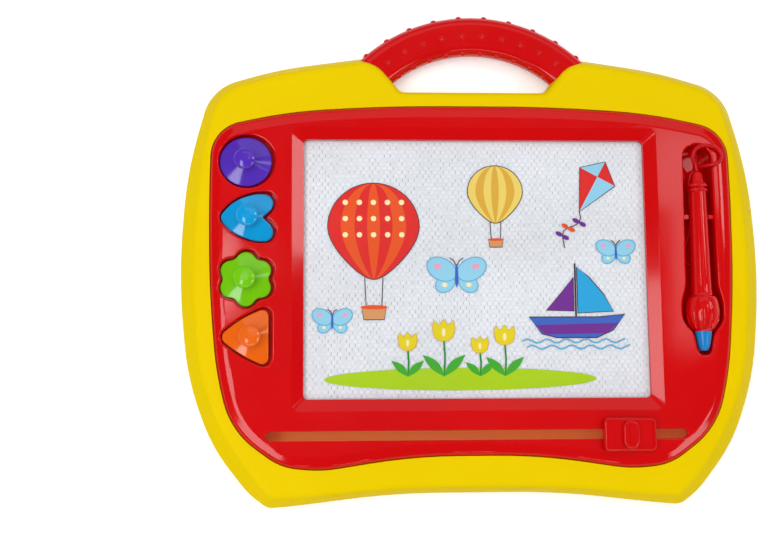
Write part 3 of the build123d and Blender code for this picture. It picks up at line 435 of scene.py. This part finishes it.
class BOARD_OT_case(bpy.types.Operator):
    """Gives the yellow case and the red face their moulded plastics"""

    bl_idname = "board.case"
    bl_label = "Case and face"

    def execute(self, context):
        colours = settings()[0]
        finish = {"roughness": 0.32, "wear": 0.015, "specular": 0.03}
        dress(["front_frame"], moulded_plastic("case_yellow", colours.case, **finish))
        cover = moulded_plastic("cover_yellow", colours.case, **finish)
        # The cover gets painted light under the knob's slot
        self.paint_slot_light(cover, colours.slot_painted_light, colours.slot_painted_glow)
        dress(["rear_cover"], cover)
        red = moulded_plastic("face_red", colours.face, roughness=0.08, wear=0.03, specular=0.42)
        dress(["face_panel", "handle_front", "handle_rear"], red)
        dress(["eraser_knob", "pen_barrel", "pen_tail_cap"], red)
        return {"FINISHED"}

    def paint_slot_light(self, cover, painted_light, glow):
        """Painted light under the knob's slot: a warm tint and a glow that stand in for light off its
        red walls and through the shells.
        """
        nodes, links = cover.node_tree.nodes, cover.node_tree.links
        shader = nodes["Principled BSDF"]
        yellow = shader.inputs["Base Color"].links[0].from_socket
        place = nodes.new("ShaderNodeSeparateXYZ")
        links.new(nodes.new("ShaderNodeTexCoord").outputs["Object"], place.inputs["Vector"])
        share = None
        for axis, low, high, start, end in SLOT_PAINTED_LIGHT:
            inside = ranged(nodes, links, place.outputs[axis], low, high, start, end)
            if share is None:
                share = inside
            else:
                share = combined(nodes, links, "MULTIPLY", share, inside).outputs["Value"]
        # Painted light: inside the mask the cover takes the warm tint and glows, though it is no lamp
        tint = nodes.new("ShaderNodeMix")
        tint.data_type = "RGBA"
        tint.inputs["B"].default_value = (*painted_light, 1)
        links.new(share, tint.inputs["Factor"])
        links.new(yellow, tint.inputs["A"])
        links.new(tint.outputs["Result"], shader.inputs["Base Color"])
        shader.inputs["Emission Color"].default_value = (*glow, 1)
        links.new(share, shader.inputs["Emission Strength"])


class BOARD_OT_stamps(bpy.types.Operator):
    """Gives the four stamps and the pen's tip their colours"""

    bl_idname = "board.stamps"
    bl_label = "Stamps and tip"

    def execute(self, context):
        colours = settings()[0]
        for name in STAMP_NAMES:
            node = name + "_stamp"
            gloss = moulded_plastic(node + "_gloss", getattr(colours, node), roughness=0.1, coat=0.3)
            dress([node], gloss)
        dress(["pen_tip"], moulded_plastic("tip_blue", colours.pen_tip, roughness=0.16))
        magnets = [name + "_magnet" for name in STAMP_NAMES] + ["pen_magnet", "eraser_magnet"]
        dress(magnets, moulded_plastic("flexible_magnet", linear(44, 42, 42), roughness=0.6))
        return {"FINISHED"}


class BOARD_OT_inner(bpy.types.Operator):
    """Gives the inner plastic, the screws and the tape their finishes"""

    bl_idname = "board.inner"
    bl_label = "Inner parts"

    def execute(self, context):
        colours = settings()[0]
        grey = moulded_plastic("inner_grey", colours.inner, roughness=0.4)
        dress(["eraser_bar", "upper_clamp", "lower_clamp"], grey)
        steel = moulded_plastic("zinc_steel", linear(190, 190, 188), roughness=0.32)
        steel.node_tree.nodes["Principled BSDF"].inputs["Metallic"].default_value = 1
        dress(["cover_screws", "clamp_screws", "eraser_screws"], steel)
        tape = moulded_plastic("white_tape", linear(226, 226, 222), roughness=0.6)
        dress(["screen_seal", "screen_back_film"], tape)
        return {"FINISHED"}


# The screen's four materials, in the order in which its operator lists them; the third is painted shade
# on one side wall of a cell
CELL_WALL, CELL_FLOOR, PAINTED_SHADE_WALL, SHADED_FLOOR = range(4)
CELL_SIDES = 6
# The side of a cell where painted shade goes
PAINTED_SHADE_SIDE = 2


def honeycomb(screen, low, high, rng):
    """The flattened six-sided cells as sloped pockets in a sheet, over a plain slab."""
    pitch, row_step = screen.pitch, screen.row_step
    columns = int((high.x - low.x) / pitch)
    rows = int((high.y - low.y) / row_step)
    left = (low.x + high.x - (columns - 0.5) * pitch) / 2
    bottom = (low.y + high.y - (rows - 1) * row_step) / 2
    flatness = row_step / (pitch * sqrt(3) / 2)
    angles = [radians(60 * k + 30) for k in range(CELL_SIDES)]
    corners = [(cos(angle), sin(angle) * flatness) for angle in angles]
    outer = pitch / sqrt(3)
    rim = outer - screen.wall / sqrt(3)
    floor = rim - screen.slope * 2 / sqrt(3)
    crest = high.z - screen.clearance
    vertices = []
    faces = []
    kinds = []
    for row in range(rows):
        for column in range(columns):
            x = left + (column + (row % 2) / 2) * pitch
            y = bottom + row * row_step
            crown = len(vertices)
            lip = crown + CELL_SIDES
            foot = lip + CELL_SIDES
            for reach, drop in ((outer, 0), (rim, 0), (floor, screen.depth)):
                vertices.extend((x + reach * cx, y + reach * cy, crest - drop) for cx, cy in corners)
            # About half the cells get painted shade on one side wall
            shade_painted = rng.random() < screen.painted_shade_share
            for k in range(CELL_SIDES):
                after = (k + 1) % CELL_SIDES
                faces.append((crown + k, crown + after, lip + after, lip + k))
                faces.append((lip + k, lip + after, foot + after, foot + k))
                kinds.extend((CELL_WALL, PAINTED_SHADE_WALL if shade_painted and k == PAINTED_SHADE_SIDE else CELL_WALL))
            faces.append(tuple(range(foot, foot + CELL_SIDES)))
            kinds.append(rng.choice((CELL_FLOOR, CELL_FLOOR, SHADED_FLOOR)))
    under = len(vertices)
    slab = ((low.x, low.y), (high.x, low.y), (high.x, high.y), (low.x, high.y))
    over = under + len(slab)
    for z in (low.z, crest - screen.depth - screen.clearance):
        vertices.extend((x, y, z) for x, y in slab)
    faces.append(tuple(under + k for k in (3, 2, 1, 0)))
    faces.append(tuple(over + k for k in (0, 1, 2, 3)))
    for k in range(len(slab)):
        after = (k + 1) % len(slab)
        faces.append((under + k, under + after, over + after, over + k))
    kinds.extend([CELL_FLOOR] * (2 + len(slab)))
    return vertices, faces, kinds


class BOARD_OT_screen(bpy.types.Operator):
    """Builds the honeycomb of cells and gives the clear film over it its material"""

    bl_idname = "board.screen"
    bl_label = "Screen"

    def execute(self, context):
        screen = settings()[1]
        low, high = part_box("screen_cells")
        vertices, faces, kinds = honeycomb(screen, low, high, random.Random(screen.seed))
        shaded = [channel * 0.94 for channel in screen.floor]
        materials = [
            moulded_plastic("cell_walls", screen.paper, roughness=0.5),
            moulded_plastic("cell_floor", screen.floor, roughness=0.6),
            # painted shade on one side wall of a cell
            moulded_plastic("iron_powder", screen.powder, roughness=0.8),
            moulded_plastic("cell_floor_shaded", shaded, roughness=0.6),
        ]
        cells = new_piece("screen_honeycomb", vertices, faces, materials, kinds)
        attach(cells, "board")
        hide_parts("screen_cells")
        film, _, _, shader = new_material("clear_film")
        shader.inputs["Base Color"].default_value = (0.9, 0.91, 0.93, 1)
        shader.inputs["Roughness"].default_value = 0.35
        shader.inputs["Alpha"].default_value = 0.12
        dress(["screen_front_film"], film)
        return {"FINISHED"}


# The picture is drawn in millimetres, a thousand to the metre; these are its lines' widths
MILLIMETRES = 1000
FINE_LINE = 0.6
FIRM_LINE = 0.7

# A balloon's bag above and below its widest place, as shares of its height
BAG_ABOVE_SHARE = 0.46
BAG_BELOW_SHARE = 0.54

# Inks of the printed picture, as chart bytes
INKS = {
    "pale_blue": (146, 208, 234),
    "blue_line": (92, 172, 214),
    "pink": (236, 160, 190),
    "sand": (236, 208, 104),
    "amber": (222, 170, 60),
    "lemon": (228, 208, 22),
    "cream": (250, 232, 180),
    "lime": (170, 208, 16),
    "leaf": (64, 170, 46),
    "leaf_dark": (34, 140, 60),
    "scarlet": (222, 40, 36),
    "orange": (232, 84, 30),
    "ink_line": (60, 40, 60),
    "sail_blue": (40, 164, 220),
    "hull_blue": (62, 100, 190),
    "violet": (112, 44, 146),
    "straw": (214, 150, 96),
}


def turned(x, y, along, up, turn):
    """The point that lies along and up from another, in a frame turned by an angle."""
    return x + along * cos(turn) - up * sin(turn), y + along * sin(turn) + up * cos(turn)


def oval(x, y, half_width, half_height, turn=0.0, count=40):
    """An oval round a point, in millimetres."""
    points = []
    for step in range(count):
        angle = 2 * pi * step / count
        points.append(turned(x, y, half_width * cos(angle), half_height * sin(angle), turn))
    return points


def leaf(x, y, length, width, turn, bend=0.0, count=12):
    """A pointed leaf that grows from a point, in millimetres."""
    points = []
    for side in (-1, 1):
        for step in range(count):
            share = step / count if side < 0 else 1 - step / count
            up = side * width / 2 * sin(pi * share) + bend * share * share
            points.append(turned(x, y, length * share, up, turn))
    return points


def balloon(x, y, half_width, height, pinch=1.0, count=48):
    """A balloon's bag, round above and drawn in below; pinch narrows it to one panel."""
    drawn_in, drawn_in_power = 0.42, 1.6
    points = []
    for step in range(count):
        angle = 2 * pi * step / count
        sag = 1 - drawn_in * max(0, -sin(angle)) ** drawn_in_power
        drop = height * (BAG_ABOVE_SHARE if sin(angle) > 0 else BAG_BELOW_SHARE)
        points.append((x + half_width * pinch * cos(angle) * sag, y + drop * sin(angle)))
    return points


def stroke(points, width):
    """A thin band along a line of points, in millimetres."""
    left = []
    right = []
    for index, (x, y) in enumerate(points):
        before = points[max(index - 1, 0)]
        after = points[min(index + 1, len(points) - 1)]
        run, rise = after[0] - before[0], after[1] - before[1]
        span = sqrt(run * run + rise * rise)
        left.append((x - rise / span * width / 2, y + run / span * width / 2))
        right.append((x + rise / span * width / 2, y - run / span * width / 2))
    return right + left[::-1]


def grown(points, width):
    """The outline moved outwards by a line's width."""
    moved = []
    for index, (x, y) in enumerate(points):
        before = points[index - 1]
        after = points[(index + 1) % len(points)]
        run, rise = after[0] - before[0], after[1] - before[1]
        span = sqrt(run * run + rise * rise)
        moved.append((x + rise / span * width, y - run / span * width))
    return moved


def scaled(x, y, size, shares):
    """A drawn outline's points from shares of its size."""
    return [(x + size * across, y + size * up) for across, up in shares]


def butterfly(x, y, size):
    """A plain blue butterfly with its wings spread."""
    shapes = []
    for side in (-1, 1):
        upper = oval(x + side * size * 0.52, y + size * 0.2, size * 0.52, size * 0.36, side * 0.5)
        lower = oval(x + side * size * 0.4, y - size * 0.3, size * 0.34, size * 0.26, -side * 0.6)
        shapes += [("blue_line", 0, grown(lower, FIRM_LINE)), ("pale_blue", 1, lower)]
        shapes += [("blue_line", 2, grown(upper, FIRM_LINE)), ("pale_blue", 3, upper)]
        spot = oval(x + side * size * 0.66, y + size * 0.3, size * 0.13, size * 0.1)
        shapes.append(("pink", 4, spot))
        spot = oval(x + side * size * 0.42, y - size * 0.34, size * 0.09, size * 0.08)
        shapes.append(("cream", 4, spot))
        feeler = scaled(x, y, size, ((0, 0.3), (side * 0.1, 0.5), (side * 0.24, 0.6)))
        shapes.append(("ink_line", 0, stroke(feeler, FIRM_LINE)))
    shapes.append(("hull_blue", 5, oval(x, y - size * 0.02, size * 0.06, size * 0.4)))
    return shapes


def air_balloon(x, y, half_width, height, bag, panel, dots):
    """A hot-air balloon with its basket."""
    whole = balloon(x, y, half_width, height)
    shapes = [("ink_line", 0, grown(whole, FINE_LINE)), (bag, 1, whole)]
    for layer, pinch, ink in ((2, 0.72, panel), (3, 0.42, bag), (4, 0.14, panel)):
        shapes.append((ink, layer, balloon(x, y, half_width, height, pinch)))
    dot_radius = half_width * 0.06
    for dot in range(dots):
        across = half_width * (-0.62 + 0.31 * (dot % 5))
        up = height * (0.26 - 0.17 * (dot // 5))
        shapes.append(("cream", 5, oval(x + across, y + up, dot_radius, dot_radius, count=20)))
    foot = y - height * BAG_BELOW_SHARE
    rim = foot - half_width * 0.62
    for side in (-1, 1):
        rope = [(x + side * half_width * 0.2, foot + 1), (x + side * half_width * 0.17, rim)]
        shapes.append(("ink_line", 0, stroke(rope, FINE_LINE)))
    width = half_width * 0.22
    basket = scaled(x, rim, width, ((-1, -1.2), (1, -1.2), (1.2, 0), (-1.2, 0)))
    shapes += [("ink_line", 0, grown(basket, FINE_LINE)), ("straw", 1, basket)]
    shapes.append(("orange", 2, oval(x, rim, width * 1.35, width * 0.22)))
    return shapes


def tulip(x, y, height, size):
    """A yellow tulip with its stem and two leaves."""
    cup = [(0.2, -0.1), (0.5, 0.1), (0.6, 0.55), (0.55, 1.0), (0.25, 0.7), (0.0, 1.05)]
    cup += [(-across, up) for across, up in reversed(cup[:-1])]
    drawn = scaled(x, y + height, size, cup)
    stem = [(x, y), (x + size * 0.06, y + height / 2), (x, y + height)]
    shapes = [("leaf_dark", 1, stroke(stem, 1.3))]
    for layer, side, turn in ((2, -1, radians(128)), (3, 1, radians(52))):
        blade = leaf(x, y, height * 0.8, size * 0.5, turn, bend=-side * size * 0.2)
        shapes.append(("leaf", layer, blade))
    shapes += [("amber", 4, grown(drawn, FINE_LINE)), ("lemon", 5, drawn)]
    shine = oval(x, y + height + size * 0.35, size * 0.1, size * 0.24, count=20)
    shapes.append(("cream", 6, shine))
    return shapes


def kite(x, y, size, turn):
    """A two-coloured kite with a tail of bows."""
    def placed(across, up):
        return turned(x, y, size * across, size * up, turn)

    foot, right, top, left, middle = (0, -1), (0.62, 0.28), (0, 0.82), (-0.62, 0.28), (0, 0.28)
    diamond = [placed(*corner) for corner in (foot, right, top, left)]
    shapes = [("ink_line", 1, grown(diamond, FIRM_LINE)), ("scarlet", 2, diamond)]
    shapes.append(("pale_blue", 3, [placed(*corner) for corner in (foot, right, middle)]))
    shapes.append(("pale_blue", 4, [placed(*corner) for corner in (middle, top, left)]))
    tail = [(0.16 * sin(step * 0.9), -1 - 0.16 * step) for step in range(9)]
    shapes.append(("ink_line", 0, stroke([placed(*point) for point in tail], FIRM_LINE)))
    for step, ink in ((2, "violet"), (4, "orange"), (6, "violet")):
        across, up = tail[step]
        for side in (-1, 1):
            bow = oval(*placed(across + side * 0.12, up), size * 0.12, size * 0.07, turn, count=20)
            shapes.append((ink, 5, bow))
    return shapes


def sailing_boat(x, y, size):
    """A small blue sailing boat on two waves."""
    keel = ((-0.72, -0.34), (-0.4, -0.42), (0.45, -0.42), (0.8, -0.26))
    hull = ((-1.0, 0.0), *keel, (1.06, 0.06), (0.5, 0.0))
    main_sail = ((0.06, 0.1), (0.82, 0.14), (0.6, 0.5), (0.3, 0.86), (0.06, 1.08))
    fore_sail = ((-0.04, 0.14), (-0.04, 0.86), (-0.3, 0.5), (-0.62, 0.16))
    stripe = ((-0.66, -0.36), (0.66, -0.34), (0.92, -0.12), (-0.86, -0.16))
    shapes = []
    for ink, outline in (("hull_blue", hull), ("sail_blue", main_sail), ("violet", fore_sail)):
        drawn = scaled(x, y, size, outline)
        shapes += [("ink_line", 1, grown(drawn, FIRM_LINE)), (ink, 2, drawn)]
    mast = scaled(x, y, size, ((0.01, 0), (0.01, 1.16)))
    shapes += [("violet", 3, scaled(x, y, size, stripe)), ("ink_line", 3, stroke(mast, 1.2))]
    for row in range(2):
        crests = [(-1.15 + 0.1 * k + 0.1 * row, 0.045 * sin(k * 1.5)) for k in range(23)]
        wave = scaled(x, y - size * (0.5 + 0.13 * row), size, crests)
        shapes.append(("blue_line", 4, stroke(wave, 1.1)))
    return shapes


def picture_shapes():
    """The printed picture as inked outlines, in millimetres from the window's middle."""
    grass_line = -78.0
    # each tulip's place along the grass, its height and its size
    tulips = ((-50.0, 20.0, 11.0), (-24.0, 27.0, 13.0), (2.0, 18.0, 10.0), (20.0, 24.0, 12.0))
    # each butterfly's place and its size
    butterflies = ((-14.0, -5.0, 21.0), (103.0, 12.0, 14.0), (-104.0, -38.0, 14.0))
    shapes = [("lime", 0, oval(-12.0, grass_line - 2.0, half_width=98.0, half_height=8.0))]
    shapes += air_balloon(-74.0, 30.0, 33.0, 70.0, bag="scarlet", panel="orange", dots=15)
    shapes += air_balloon(15.0, 56.0, 20.0, 42.0, bag="sand", panel="amber", dots=0)
    shapes += kite(88.0, 62.0, size=23.0, turn=-0.5)
    for x, y, size in butterflies:
        shapes += butterfly(x, y, size)
    shapes += sailing_boat(72.0, -36.0, size=34.0)
    for x, height, size in tulips:
        shapes += tulip(x, grass_line, height, size)
    return shapes


class BOARD_OT_picture(bpy.types.Operator):
    """Prints the picture on the screen's film"""

    bl_idname = "board.picture"
    bl_label = "Printed picture"

    def execute(self, context):
        screen = settings()[1]
        low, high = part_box("screen_front_film")
        middle = (low + high) / 2
        names = list(INKS)
        vertices = []
        faces = []
        kinds = []
        for ink, layer, outline in picture_shapes():
            top = high.z + (layer + 1) * screen.ink_step
            start = len(vertices)
            count = len(outline)
            for z in (high.z, top):
                for x, y in outline:
                    vertices.append((middle.x + x / MILLIMETRES, middle.y + y / MILLIMETRES, z))
            faces.append(tuple(start + k for k in reversed(range(count))))
            faces.append(tuple(start + count + k for k in range(count)))
            for k in range(count):
                after = (k + 1) % count
                faces.append((start + k, start + after, start + count + after, start + count + k))
            kinds.extend([names.index(ink)] * (count + 2))
        inks = []
        for name, chart in INKS.items():
            colour = linear(*chart)
            inks.append(moulded_plastic("ink_" + name, colour, roughness=0.5, wear=0.03, specular=0.3))
        picture = new_piece("printed_picture", vertices, faces, inks, kinds)
        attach(picture, "board")
        return {"FINISHED"}


class BOARD_PT_sidebar(bpy.types.Panel):
    """The drawing board's makers, in the 3D view's sidebar"""

    bl_label = "Drawing board"
    bl_space_type = "VIEW_3D"
    bl_region_type = "UI"
    bl_category = "Drawing board"

    def draw(self, context):
        for operator in OPERATORS:
            self.layout.operator(operator.bl_idname)
        for group in settings():
            for name in group.__annotations__:
                self.layout.prop(group, name)


OPERATORS = (
    BOARD_OT_stage,
    BOARD_OT_tether,
    BOARD_OT_case,
    BOARD_OT_stamps,
    BOARD_OT_inner,
    BOARD_OT_screen,
    BOARD_OT_picture,
)
GROUPS = {"board_colours": PlasticColours, "board_screen": ScreenSizes, "board_studio": StudioSettings}


def register():
    """Makes the classes and the scene's settings known."""
    for entry in (*GROUPS.values(), *OPERATORS, BOARD_PT_sidebar):
        bpy.utils.register_class(entry)
    for name, group in GROUPS.items():
        setattr(bpy.types.Scene, name, PointerProperty(type=group))


def unregister():
    """Takes the settings and the classes away again."""
    for name in GROUPS:
        delattr(bpy.types.Scene, name)
    for entry in (BOARD_PT_sidebar, *reversed(OPERATORS), *reversed(list(GROUPS.values()))):
        bpy.utils.unregister_class(entry)


def main():
    """Makes everything in order."""
    register()
    for operator in OPERATORS:
        group, name = operator.bl_idname.split(".")
        getattr(getattr(bpy.ops, group), name)()


if __name__ == "__main__":
    main()
